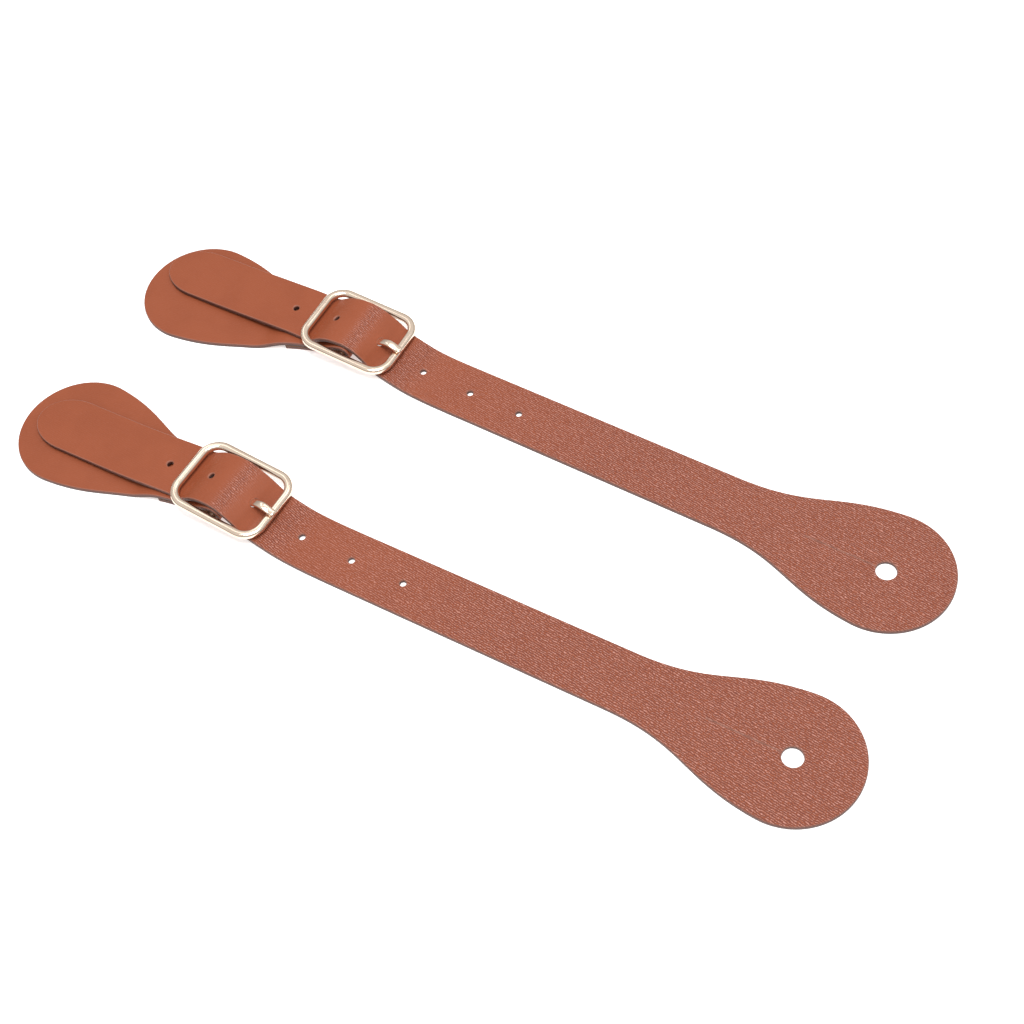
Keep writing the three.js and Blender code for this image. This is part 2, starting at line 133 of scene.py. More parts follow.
WRAP_RADIUS = CENTRE_BAR_RADIUS + GAP + LEATHER / 2
TOP_OF_WRAP = CENTRE_BAR_HEIGHT + WRAP_RADIUS
FOOT_OF_WRAP = CENTRE_BAR_HEIGHT - WRAP_RADIUS
UPPER_LAYER = [(FOLD_FLEX_X, LEATHER / 2, 0), (-39, LEATHER / 2, 0), (FOLD_BACK_END_X, 3.0, 0.02),
               (-20, 3.1, 0.05), (RIVET_X, 4.3, 0.18), (-8.5, 5.3, 0.42), (-5, 7.1, 0.5),
               (0, TOP_OF_WRAP, 0)]
LOWER_LAYER = [(FOLD_BACK_END_X, LEATHER / 2, 0), (-20, 1.0, 0.05), (RIVET_X, 2.1, 0.14),
               (0, FOOT_OF_WRAP, 0)]


# ---- Curves --------------------------------------------------------------------------------------

def through_knots(knots, x):
    """A smooth curve through knots of (x, value, slope), straight beyond the last knots."""
    kx, kv, ks = (np.array(k, float) for k in zip(*knots))
    x = np.asarray(x, float)
    i = np.clip(np.searchsorted(kx, x, side="right") - 1, 0, len(kx) - 2)
    w = kx[i + 1] - kx[i]
    t = np.clip((x - kx[i]) / w, 0, 1)
    value = ((1 + 2 * t) * (1 - t) ** 2 * kv[i] + t * (1 - t) ** 2 * w * ks[i]
             + t * t * (3 - 2 * t) * kv[i + 1] + t * t * (t - 1) * w * ks[i + 1])
    before = np.minimum(x - kx[0], 0) * ks[0]
    after = np.maximum(x - kx[-1], 0) * ks[-1]
    return value + before + after


def neck_curve(count=400):
    """The neck's edge, from the lobe's arc to the strap's straight edge."""
    start = np.array([math.cos(LOBE_ARC_END), math.sin(LOBE_ARC_END)]) * LOBE_RADIUS
    leave = np.array([math.sin(LOBE_ARC_END), -math.cos(LOBE_ARC_END)]) * NECK_HANDLE_LOBE
    p = [start, start + leave, np.array([NECK_END - NECK_HANDLE_STRAP, STRAP_HALF]),
         np.array([NECK_END, STRAP_HALF])]
    t = np.linspace(0, 1, count)[:, None]
    return (1 - t) ** 3 * p[0] + 3 * t * (1 - t) ** 2 * p[1] + 3 * t * t * (1 - t) * p[2] + t ** 3 * p[3]


def neck_half_width(distance):
    curve = neck_curve()
    return np.interp(distance, curve[:, 0], curve[:, 1])


def lobe_arc(count=120):
    angles = np.linspace(math.pi, LOBE_ARC_END, count)[:, None]
    return LOBE_RADIUS * np.hstack([np.cos(angles), np.sin(angles)])


def resample(points, spacing):
    steps = np.linalg.norm(np.diff(points, axis=0), axis=1)
    along = np.concatenate([[0], np.cumsum(steps)])
    at = np.linspace(0, along[-1], max(2, int(round(along[-1] / spacing)) + 1))
    return np.column_stack([np.interp(at, along, points[:, k]) for k in range(points.shape[1])])


def mirrored(half):
    """A closed loop from the half of it on the +v side."""
    return np.vstack([half, (half * [1, -1])[::-1][1:-1]])


def ring(centre, radius_s, radius_v, count):
    angles = np.arange(count) * 2 * math.pi / count
    return np.column_stack([centre[0] + radius_s * np.cos(angles), centre[1] + radius_v * np.sin(angles)])


# ---- Paths: where leather that was cut flat lies once it is bent ---------------------------------

PATH_STEP = 0.1
WRAP_STEPS = 90


def slope_at(height, x):
    """The angle of a curve at x, from its height a little to each side."""
    return np.arctan((height(x + PATH_STEP / 2) - height(x - PATH_STEP / 2)) / PATH_STEP)


class BilletPath:
    """s runs from the billet lobe's centre to the tip, v across, w up from the middle of the leather."""

    def __init__(self, side):
        self.reach = LOBE_TO_BAR[side]
        past_lobe, past_tip = self.reach + 30, self.reach - BILLET_LENGTH - 4
        self.x = np.arange(past_lobe, past_tip, -PATH_STEP)
        self.sway = BILLET_SWAY[side]
        y, z = self.centre(self.x)
        steps = np.sqrt(np.diff(self.x) ** 2 + np.diff(y) ** 2 + np.diff(z) ** 2)
        along = np.concatenate([[0], np.cumsum(steps)])
        self.s = along - np.interp(-self.reach, -self.x, along)

    def centre(self, x):
        return through_knots(self.sway, x), through_knots(BILLET_RISE, x)

    def s_at(self, x):
        return float(np.interp(-x, -self.x, self.s))

    def place(self, flat, w):
        x = np.interp(flat[:, 0], self.s, self.x)
        y, z = self.centre(x)
        yaw = slope_at(lambda at: through_knots(self.sway, at), x)
        slope = slope_at(lambda at: through_knots(BILLET_RISE, at), x)
        v = flat[:, 1]
        return np.column_stack([
            x - v * np.sin(yaw) - w * np.cos(yaw) * np.sin(slope),
            y + v * np.cos(yaw) - w * np.sin(yaw) * np.sin(slope),
            z + w * np.cos(slope)])


class FoldPath:
    """s runs from the buckle lobe's centre, over the centre bar and back under."""

    def __init__(self, side):
        self.shift = LOBE_SHIFT[side]
        upper_x = np.arange(BUCKLE_LOBE_X - 30, 0, PATH_STEP)
        lower_x = np.arange(-PATH_STEP, FOLD_BACK_END_X - PATH_STEP / 2, -PATH_STEP)
        turn = np.radians(np.linspace(90, -90, WRAP_STEPS))
        upper = [upper_x, through_knots(UPPER_LAYER, upper_x), self.slope(UPPER_LAYER, upper_x)]
        wrap = [WRAP_RADIUS * np.cos(turn), CENTRE_BAR_HEIGHT + WRAP_RADIUS * np.sin(turn),
                turn - math.pi / 2]
        lower = [lower_x, through_knots(LOWER_LAYER, lower_x),
                 self.slope(LOWER_LAYER, lower_x) - math.pi]
        self.x, self.z, self.tilt = (np.concatenate(c) for c in zip(upper, wrap, lower))
        steps = np.hypot(np.diff(self.x), np.diff(self.z))
        along = np.concatenate([[0], np.cumsum(steps)])
        self.s = along - np.interp(BUCKLE_LOBE_X, upper_x, along[:len(upper_x)])
        self.top = len(upper_x)
        self.foot = len(upper_x) + len(turn)

    @staticmethod
    def slope(knots, x):
        return slope_at(lambda at: through_knots(knots, at), x)

    def s_upper(self, x):
        return float(np.interp(x, self.x[:self.top], self.s[:self.top]))

    def s_lower(self, x):
        return float(np.interp(-x, -self.x[self.foot:], self.s[self.foot:]))

    def place(self, flat, w):
        x = np.interp(flat[:, 0], self.s, self.x)
        z = np.interp(flat[:, 0], self.s, self.z)
        tilt = np.interp(flat[:, 0], self.s, self.tilt)
        y = through_knots([(FOLD_FLEX_X, self.shift, 0), (RIVET_X, FOLD_SIDE_PLAY, 0)], x)
        return np.column_stack([x - w * np.sin(tilt), y + flat[:, 1], z + w * np.cos(tilt)])


def joint(name):
    return next(j for j in frame["joints"] if j["name"] == name)


def placement(pivot, across, local):
    """The matrix from a strap's own millimetres to the row frame, from one joint that both know."""
    y = Vector(across).normalized()
    x = y.cross(Vector((0, 0, 1))).normalized()
    turn = Matrix((x, y, (0, 0, 1))).transposed().to_4x4()
    return Matrix.Translation(pivot) @ turn @ Matrix.Scale(MM, 4) @ Matrix.Translation(-Vector(local))


def strap_matrix(side):
    flex = joint(f"{side}_billet_lobe_flex")
    local = (LOBE_TO_BAR[side] - BILLET_FLEX, 0, LEATHER / 2)
    return placement(Vector(flex["pos_m"]), -Vector(flex["axis"]), local)


def buckle_matrix(side):
    lift = joint(f"{side}_buckle_prong_lift")
    return placement(Vector(lift["pos_m"]), -Vector(lift["axis"]), (0, 0, CENTRE_BAR_HEIGHT))


def to_row(matrix, points):
    m = np.array(matrix)
    return points @ m[:3, :3].T + m[:3, 3]


# ---- Leather sheets, cut flat --------------------------------------------------------------------

EDGE_ROUND = 0.42
HOLE_ROUND = 0.5
SLIT_ROUND = 0.1
FLESH_ROUND = 0.2
RING_OFFSETS = (0.08, 0.2, 0.4, 0.75)  # rows of points that follow each edge
EDGE_SPACING = 0.7
GRID = 1.25
FINE_GRID = 0.85
GRID_CLEARANCE = 0.35
RING_CLEARANCE = 0.12
SLIT_ZONE = 0.9       # how near the slit's line an edge counts as the slit's
NOT_NEAR = 9.0
CHUNK = 2000


def distance_to(points, loop, closed=True):
    """Distance from each flat point to the nearest edge of a loop, or of an open line."""
    a = loop if closed else loop[:-1]
    b = np.roll(loop, -1, axis=0) if closed else loop[1:]
    ab = b - a
    length2 = (ab ** 2).sum(1)
    best = np.empty(len(points))
    for start in range(0, len(points), CHUNK):
        p = points[start:start + CHUNK, None, :]
        t = np.clip(((p - a) * ab).sum(2) / length2, 0, 1)
        best[start:start + CHUNK] = np.sqrt((((a + t[..., None] * ab) - p) ** 2).sum(2).min(1))
    return best


def inside(points, loop):
    a = loop
    b = np.roll(loop, -1, axis=0)
    found = np.zeros(len(points), bool)
    for start in range(0, len(points), CHUNK):
        s = points[start:start + CHUNK, None, 0]
        v = points[start:start + CHUNK, None, 1]
        spans = (a[:, 1] > v) != (b[:, 1] > v)
        rise = np.where(b[:, 1] == a[:, 1], 1e-12, b[:, 1] - a[:, 1])
        crosses = a[:, 0] + (v - a[:, 1]) / rise * (b[:, 0] - a[:, 0]) > s
        found[start:start + CHUNK] = (spans & crosses).sum(1) % 2 == 1
    return found


def offset_loop(loop, distance):
    """A loop moved sideways, to its left for a counterclockwise loop."""
    ahead = np.roll(loop, -1, axis=0) - np.roll(loop, 1, axis=0)
    normal = np.column_stack([-ahead[:, 1], ahead[:, 0]])
    normal /= np.linalg.norm(normal, axis=1)[:, None]
    return loop + normal * distance


def area(loop):
    a, b = loop, np.roll(loop, -1, axis=0)
    return 0.5 * (a[:, 0] * b[:, 1] - b[:, 0] * a[:, 1]).sum()


def counterclockwise(loop):
    return loop if area(loop) > 0 else loop[::-1]


def button_hole():
    """The round button hole and the closed slit from it towards the strap, as one loop."""
    mouth = math.asin(SLIT_HALF / BUTTON_HOLE_RADIUS)
    angles = np.linspace(mouth, 2 * math.pi - mouth, BUTTON_HOLE_STEPS)
    arc = np.column_stack([BUTTON_HOLE_OFFSET + BUTTON_HOLE_RADIUS * np.cos(angles),
                           BUTTON_HOLE_RADIUS * np.sin(angles)])
    slit_s = np.arange(arc[0, 0] + 0.4, SLIT_END, 0.5)
    lower = np.column_stack([slit_s, np.full(len(slit_s), -SLIT_HALF)])
    upper = (lower * [1, -1])[::-1]
    return np.vstack([arc, lower, [[SLIT_END, 0]], upper])


SLIT_LINE = np.array([[BUTTON_HOLE_OFFSET + BUTTON_HOLE_RADIUS, 0.0], [SLIT_END, 0.0]])


def grid_points(low, high, spacing):
    """Staggered points over a stretch of the flat sheet."""
    rows = np.arange(-LOBE_RADIUS - 1, LOBE_RADIUS + 1, spacing * 0.866)
    found = []
    for i, v in enumerate(rows):
        s = np.arange(low + (i % 2) * spacing / 2, high, spacing)
        found.append(np.column_stack([s, np.full(len(s), v)]))
    return np.vstack(found)


def nearest_edge(points, loops):
    return np.min([distance_to(points, loop) for loop in loops], axis=0)


def ring_points(outline, holes, splits):
    """Rows of points that follow the outline and the holes, clear of the split lines."""
    rows = [offset_loop(outline, d) for d in RING_OFFSETS]
    for hole in holes:
        rows += [offset_loop(hole, -d) for d in RING_OFFSETS]
    rings = np.vstack(rows)
    rings = rings[inside(rings, outline)]
    keep = nearest_edge(rings, [outline, *holes]) > RING_OFFSETS[0] * 0.8
    for hole in holes:
        keep &= ~inside(rings, hole)
    for line in splits:
        keep &= abs(rings[:, 0] - line) > RING_CLEARANCE
    return rings[keep]


def inner_points(outline, holes, splits, fine):
    """A grid inside the rows of points, finer over the stretch where the strap bends."""
    coarse = grid_points(outline[:, 0].min(), outline[:, 0].max(), GRID)
    coarse = coarse[(coarse[:, 0] < fine[0]) | (coarse[:, 0] > fine[1])]
    grid = np.vstack([coarse, grid_points(fine[0], fine[1], FINE_GRID)])
    grid = grid[inside(grid, outline)]
    keep = nearest_edge(grid, [outline, *holes]) > RING_OFFSETS[-1] + GRID_CLEARANCE
    for line in splits:
        keep &= abs(grid[:, 0] - line) >= GRID_CLEARANCE
    return grid[keep]


Sheet = namedtuple("Sheet", "flat tris loops")


def cut_sheet(outline, holes, splits, fine):
    """Triangles over an outline with holes, split along lines across the strap. The first hole is the
    button hole with its slit."""
    outline = counterclockwise(outline)
    holes = [counterclockwise(h) for h in holes]
    loops = [outline, *holes]
    points, edges = [], []
    count = 0
    for loop in loops:
        points.append(loop)
        edges += [(count + i, count + (i + 1) % len(loop)) for i in range(len(loop))]
        count += len(loop)
    for line in splits:
        across = np.linspace(-STRAP_HALF - 4, STRAP_HALF + 4, 33)
        points.append(np.column_stack([np.full(len(across), line), across]))
        edges += [(count + i, count + i + 1) for i in range(len(across) - 1)]
        count += len(across)
    points = np.vstack([*points, ring_points(outline, holes, splits),
                        inner_points(outline, holes, splits, fine)])
    verts, _, faces, *_ = delaunay_2d_cdt([Vector(p) for p in points], edges, [], 0, 1e-5)
    flat = np.array([tuple(v) for v in verts])
    tris = np.array([f for f in faces if len(f) == 3])
    middles = flat[tris].mean(1)
    good = inside(middles, outline)
    for hole in holes:
        good &= ~inside(middles, hole)
    tris = tris[good]
    p = flat[tris]
    turn = np.cross(p[:, 1] - p[:, 0], p[:, 2] - p[:, 0])
    tris = np.where((turn < 0)[:, None], tris[:, ::-1], tris)
    return Sheet(flat, tris[abs(turn) > 1e-9], loops)


def rounding(distance, radius):
    """How far the surface drops near a rounded edge."""
    inward = np.clip(1 - distance / radius, 0, 1)
    return radius * (1 - np.sqrt(1 - inward ** 2))


def lip(distance, height, crest, width):
    """How far the surface rises in a soft lip round a hole."""
    return height * np.exp(-((distance - crest) / width) ** 2)


def faces_of_leather(flat, loops):
    """Height of the grain face and of the flesh side over the middle of the leather, at each flat point."""
    outline, button, *punched = loops
    edge = distance_to(flat, outline)
    grain = LEATHER / 2 - rounding(edge, EDGE_ROUND)
    flesh = -LEATHER / 2 + rounding(edge, FLESH_ROUND)
    from_button = distance_to(flat, button)
    from_slit = distance_to(flat, SLIT_LINE, closed=False)
    round_part = np.where(from_slit < SLIT_ZONE, NOT_NEAR, from_button)
    slit_part = np.where(from_slit < SLIT_ZONE, from_button, NOT_NEAR)
    grain = grain - rounding(round_part, EDGE_ROUND) + lip(round_part, 0.1, 0.8, 0.35)
    grain = grain + lip(from_slit, 0.05, 0.35, 0.25) - rounding(slit_part, SLIT_ROUND)
    flesh = flesh + rounding(from_button, FLESH_ROUND)
    for hole in punched:
        from_hole = distance_to(flat, hole)
        grain = grain - rounding(from_hole, HOLE_ROUND) + lip(from_hole, 0.07, 0.75, 0.4)
        flesh = flesh + rounding(from_hole, FLESH_ROUND)
    return grain, flesh


GRAIN, CUT, FLESH = 0, 1, 2

Strip = namedtuple("Strip", "side path matrix grain_offset grain_depth")


def leather_mesh(name, strip, sheet, materials):
    """The closed body of a bent sheet: grain face, flesh side and cut edges."""
    used, packed = np.unique(sheet.tris, return_inverse=True)
    tris = packed.reshape(-1, 3)
    flat = sheet.flat[used]
    grain, flesh = faces_of_leather(flat, sheet.loops)
    count = len(flat)
    pairs = np.vstack([tris[:, [0, 1]], tris[:, [1, 2]], tris[:, [2, 0]]])
    keys = np.sort(pairs, axis=1) @ [count, 1]
    _, first, times = np.unique(keys, return_index=True, return_counts=True)
    rim = pairs[first[times == 1]]
    points = np.vstack([strip.path.place(flat, grain), strip.path.place(flat, flesh)])
    faces = [tuple(t) for t in tris]
    faces += [(c + count, b + count, a + count) for a, b, c in tris]
    faces += [(b, a, a + count, b + count) for a, b in rim]
    mesh = bpy.data.meshes.new(name)
    mesh.from_pydata(to_row(strip.matrix, points).tolist(), [], faces)
    kinds = np.concatenate([np.full(len(tris), GRAIN), np.full(len(tris), FLESH), np.full(len(rim), CUT)])
    for material in materials:
        mesh.materials.append(material)
    mesh.polygons.foreach_set("material_index", kinds.astype(np.int32))
    mesh.polygons.foreach_set("use_smooth", np.ones(len(kinds), bool))
    where = mesh.attributes.new("cut_place", "FLOAT_VECTOR", "POINT")
    places = np.column_stack([np.vstack([flat, flat]) + strip.grain_offset, np.concatenate([grain, flesh])])
    where.data.foreach_set("vector", places.astype(np.float32).ravel())
    both_faces(mesh, "from_edge", nearest_edge(flat, sheet.loops))
    both_faces(mesh, "from_outline", distance_to(flat, sheet.loops[0]))
    x = np.interp(flat[:, 0], strip.path.s, strip.path.x)
    both_faces(mesh, "grain_depth", strip.grain_depth(x))
    sharp_rims(mesh, rim, count)
    obj = bpy.data.objects.new(name, mesh)
    bpy.context.scene.collection.objects.link(obj)
    return obj


def both_faces(mesh, name, values):
    """Keeps one value for each flat point, on the grain face and on the flesh side."""
    attribute = mesh.attributes.new(name, "FLOAT", "POINT")
    attribute.data.foreach_set("value", np.concatenate([values, values]).astype(np.float32))


def sharp_rims(mesh, rim, count):
    """Keeps a crisp line where the rounded faces meet the cut edge."""
    wanted = {tuple(sorted(map(int, e))) for e in rim} | {tuple(sorted(map(int, e + count))) for e in rim}
    sharp = [tuple(sorted(e.vertices)) in wanted for e in mesh.edges]
    attribute = mesh.attributes.get("sharp_edge") or mesh.attributes.new("sharp_edge", "BOOLEAN", "EDGE")
    attribute.data.foreach_set("value", sharp)


# ---- The leather pieces --------------------------------------------------------------------------

SMOOTH_GRAIN = 0.03
FAR_STRAP_GRAIN = 90.0  # moves the far strap's grain along, so that the two straps differ
BUCKLE_STRAP_GRAIN = 400.0


def grain_offset(side, along):
    return np.array([along, 0.0 if side == "near" else FAR_STRAP_GRAIN])


def billet_grain_and_painted_light_depth(x):
    """The grain is open over the lobe and the run, and deeper in two bands where the strap bends in its
    buckle, at the arch's crest and just past the toe bar. Its depth also weights the painted highlights on
    the ridges and the painted shade in the creases, so these bands are painted highlight bands where light
    catches the grain.
    """
    open_grain = 0.35 + 0.65 * np.clip((x - 30) / 90, 0, 1)
    # Painted highlight bands: the grain, and with it its painted highlights and shade, is deeper just past
    # the toe bar and at the arch's crest, where light catches it.
    behind_toe_bar = 0.6 * np.exp(-((x - 26) / 7) ** 2)
    crest = 0.85 * np.exp(-((x - 3) / 2.6) ** 2)
    return SMOOTH_GRAIN + (open_grain + behind_toe_bar) * np.clip((x - 17) / 5, 0, 1) + crest


def buckle_grain_and_painted_light_depth(x):
    # The buckle strap's grain is kept shallow all over, so its painted highlights and painted shade stay
    # faint.
    return np.full(len(x), SMOOTH_GRAIN)


def row_point(strip, s):
    """A point on the middle of the leather, in the row frame."""
    return to_row(strip.matrix, strip.path.place(np.array([[s, 0.0]]), np.array([0.0])))[0]


def bend(obj, strip, s_at, x, direction):
    """Finds points on the leather a short stretch to each side of the flex line at x, and bakes the
    object's placement into its mesh.
    """
    start = row_point(strip, s_at(x - direction * BEND_REACH))
    end = row_point(strip, s_at(x + direction * BEND_REACH))
    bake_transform(obj)


def billet_holes(side, path):
    """The button hole with its slit, the punched holes, and the one that the prong has opened."""
    holes = [button_hole()]
    for i in range(HOLE_COUNT):
        s = FIRST_HOLE + i * HOLE_PITCH
        if i == PRONG_HOLE:
            x = PRONG_HOLE_X
            line = BUCKLE_SIDE[side] + x * math.tan(PRONG_YAW + buckle_turn(side))
            middle = (path.s_at(x), line - float(path.centre(x)[0]) + PRONG_HOLE_SHIFT)
            holes.append(ring(middle, PRONG_HOLE_REACH, PRONG_WIDTH / 2 + GAP / 2, PRONG_HOLE_STEPS))
        else:
            holes.append(ring((s, 0), PUNCH_RADIUS, PUNCH_RADIUS, PUNCH_STEPS))
    return holes


def billet(side, materials):
    path = BilletPath(side)
    strip = Strip(side, path, strap_matrix(side), grain_offset(side, 0.0), billet_grain_and_painted_light_depth)
    end = path.s_at(LOBE_TO_BAR[side] - BILLET_LENGTH)
    angles = np.linspace(0, math.pi / 2, TIP_STEPS)
    tip = np.column_stack([end - TIP_ROUND + TIP_ROUND * np.sin(angles), STRAP_HALF * np.cos(angles)])
    outline = mirrored(resample(np.vstack([lobe_arc(), neck_curve()[1:], tip]), EDGE_SPACING))
    splits = [path.s_at(RUN_SPLIT_X), path.s_at(TAIL_SPLIT_X)]
    fine = (path.s_at(FINE_MESH_X), path.s_at(-FINE_MESH_X))
    sheet = cut_sheet(outline, billet_holes(side, path), splits, fine)
    middle = sheet.flat[sheet.tris].mean(1)[:, 0]
    stretches = {
        "billet_lobe": middle < splits[0],
        "billet_run": (middle > splits[0]) & (middle < splits[1]),
        "billet_tip": middle > splits[1],
    }
    made = {}
    for part, chosen in stretches.items():
        stretch = sheet._replace(tris=sheet.tris[chosen])
        made[part] = leather_mesh(f"{side}_{part}_leather", strip, stretch, materials)
    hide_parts(f"{side}_billet_lobe")
    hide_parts(f"{side}_billet_run", f"{side}_billet_tail")
    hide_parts(f"{side}_billet_tip")
    lobe_flex_x = LOBE_TO_BAR[side] - BILLET_FLEX
    bend(made["billet_lobe"], strip, path.s_at, lobe_flex_x, 1)
    bend(made["billet_run"], strip, path.s_at, TAIL_FLEX_X, -1)
    bend(made["billet_tip"], strip, path.s_at, TIP_CURL_X, -1)


def buckle_turn(side):
    """How far the buckle end is turned from the strap's line."""
    strap_y = -Vector(joint(f"{side}_billet_lobe_flex")["axis"])
    buckle_y = -Vector(joint(f"{side}_buckle_prong_lift")["axis"])
    return math.atan2(strap_y.cross(buckle_y).z, strap_y.dot(buckle_y))


def buckle_strap(side, materials):
    path = FoldPath(side)
    strip = Strip(side, path, buckle_matrix(side), grain_offset(side, BUCKLE_STRAP_GRAIN),
                  buckle_grain_and_painted_light_depth)
    start = LOBE_RADIUS * math.cos(LOBE_ARC_END)
    s = np.arange(start + 0.4, path.s[-1], 0.3)
    x = np.interp(s, path.s, path.x)
    neck = np.column_stack([s, neck_half_width(x - BUCKLE_LOBE_X)])
    end = np.array([[path.s[-1], neck[-1, 1] - 0.5], [path.s[-1], 0.0]])
    outline = mirrored(resample(np.vstack([lobe_arc(), neck, end]), EDGE_SPACING))
    slot_from, slot_to = path.s_upper(PRONG_SLOT_END), path.s_lower(PRONG_SLOT_END)
    slot = prong_slot(slot_from, slot_to)
    fine = (path.s_upper(FOLD_FINE_X), path.s_lower(FOLD_FINE_X))
    sheet = cut_sheet(outline, [button_hole(), slot], [], fine)
    obj = leather_mesh(f"{side}_buckle_strap_leather", strip, sheet, materials)
    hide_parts(f"{side}_buckle_lobe", f"{side}_buckle_fold")
    bend(obj, strip, path.s_upper, FOLD_FLEX_X, -1)


def prong_slot(low, high):
    """A slot with round ends, for the prong to come out of the fold."""
    r = PRONG_SLOT_HALF
    turn = np.linspace(-math.pi / 2, math.pi / 2, 12)
    right = np.column_stack([high - r + r * np.cos(turn), r * np.sin(turn)])
    left = np.column_stack([low + r - r * np.cos(turn), -r * np.sin(turn)])
    return np.vstack([right, left])


# ---- Metal ---------------------------------------------------------------------------------------

SECTION_STEPS = 28
CENTRE_BAR_STEPS = 8
BAR_SQUARENESS = 2.3
METAL_SHARP_ANGLE = math.radians(50)
PRONG_SQUARENESS = 3.2
PRONG_TAPER = 0.12
PRONG_TIP_START = 0.955  # where the arm's tip starts to round off, as a share of its length
PRONG_TIP_SHARE = 0.0452
EYE_THICKNESS = 0.9
EYE_START = 0.3


def swept(centres, tangents, sides, width, height, closed, power=2.0, scale=None):
    """A bar with a rounded section along a line: width goes along sides, height across them. A power of 2
    makes the section an ellipse, and more makes it squarer."""
    turns = SECTION_STEPS
    angles = np.arange(turns) * 2 * math.pi / turns
    cs, sn = np.cos(angles), np.sin(angles)
    section = np.column_stack([np.sign(cs) * abs(cs) ** (2 / power) * width / 2,
                               np.sign(sn) * abs(sn) ** (2 / power) * height / 2])
    ups = np.cross(tangents, sides)
    scale = np.ones(len(centres)) if scale is None else scale
    points = (centres[:, None] + scale[:, None, None] * (section[None, :, :1] * sides[:, None]
                                                         + section[None, :, 1:] * ups[:, None]))
    verts = points.reshape(-1, 3)
    count = len(centres)
    faces = []
    for i in range(count if closed else count - 1):
        for k in range(turns):
            a, b = i * turns + k, i * turns + (k + 1) % turns
            c, d = ((i + 1) % count) * turns + (k + 1) % turns, ((i + 1) % count) * turns + k
            faces.append((a, b, c, d))
    if not closed:
        faces.append(tuple(range(turns))[::-1])
        faces.append(tuple((count - 1) * turns + k for k in range(turns)))
    return verts, faces


def metal_object(name, parts, matrix, material):
    """One mesh from several swept bars that run into each other, joined into one body."""
    objects = []
    for i, (verts, faces) in enumerate(parts):
        mesh = bpy.data.meshes.new(f"{name}_{i}")
        mesh.from_pydata(to_row(matrix, verts).tolist(), [], faces)
        mesh.validate()
        obj = bpy.data.objects.new(f"{name}_{i}", mesh)
        bpy.context.scene.collection.objects.link(obj)
        objects.append(obj)
    base = objects[0]
    for other in objects[1:]:
        union = base.modifiers.new("join", "BOOLEAN")
        union.operation = "UNION"
        union.solver = "EXACT"
        union.object = other
    deps = bpy.context.evaluated_depsgraph_get()
    mesh = bpy.data.meshes.new_from_object(base.evaluated_get(deps))
    for obj in objects:
        bpy.data.objects.remove(obj)
    mesh.name = name
    mesh.materials.clear()
    mesh.materials.append(material)
    mesh.polygons.foreach_set("use_smooth", np.ones(len(mesh.polygons), bool))
    mesh.polygons.foreach_set("material_index", np.zeros(len(mesh.polygons), np.int32))
    result = bpy.data.objects.new(name, mesh)
    bpy.context.scene.collection.objects.link(result)
    bpy.context.view_layer.objects.active = result
    mesh.set_sharp_from_angle(angle=METAL_SHARP_ANGLE)
    return result


def rounded_rectangle(length, width, radius, corner_steps=14, side_steps=10):
    """Points and directions round a rectangle with round corners, counterclockwise from +x's middle."""
    points, tangents = [], []
    corners = [(1, 1), (-1, 1), (-1, -1), (1, -1)]
    for i, (sx, sy) in enumerate(corners):
        start = 90 * i
        cx, cy = sx * (length / 2 - radius), sy * (width / 2 - radius)
        for step in range(corner_steps + 1):
            angle = math.radians(start + 90 * step / corner_steps)
            points.append((cx + radius * math.cos(angle), cy + radius * math.sin(angle), 0))
            tangents.append((-math.sin(angle), math.cos(angle), 0))
        nx, ny = corners[(i + 1) % 4]
        end = math.radians(start + 90)
        goal = (nx * (length / 2 - radius) + radius * math.cos(end),
                ny * (width / 2 - radius) + radius * math.sin(end))
        leave = points[-1]
        for step in range(1, side_steps):
            t = step / side_steps
            points.append((leave[0] * (1 - t) + goal[0] * t, leave[1] * (1 - t) + goal[1] * t, 0))
            tangents.append((-math.sin(end), math.cos(end), 0))
    return np.array(points), np.array(tangents)


def buckle_frame(side, material):
    centres, tangents = rounded_rectangle(FRAME_LENGTH, FRAME_WIDTH, FRAME_CORNER)
    sides = np.column_stack([tangents[:, 1], -tangents[:, 0], np.zeros(len(tangents))])
    ring_bar = swept(centres, tangents, sides, BAR_WIDTH, BAR_THICKNESS, True, BAR_SQUARENESS)
    along_bar = np.linspace(-FRAME_WIDTH / 2, FRAME_WIDTH / 2, CENTRE_BAR_STEPS)
    bar_centres = np.array([[0, y, CENTRE_BAR_HEIGHT - FRAME_HEIGHT] for y in along_bar])
    bar_tangents = np.tile([0.0, 1.0, 0.0], (CENTRE_BAR_STEPS, 1))
    bar_sides = np.tile([1.0, 0.0, 0.0], (CENTRE_BAR_STEPS, 1))
    thickness = 2 * CENTRE_BAR_RADIUS
    centre_bar = swept(bar_centres, bar_tangents, bar_sides, thickness, thickness, False)
    tilt = Matrix.Translation((0, 0, FRAME_HEIGHT)) @ Matrix.Rotation(FRAME_TILT, 4, "Y")
    obj = metal_object(f"{side}_buckle_frame_gold", [ring_bar, centre_bar],
                       buckle_matrix(side) @ tilt, material)
    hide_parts(f"{side}_buckle_frame")
    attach(obj, f"{side}_buckle_frame")


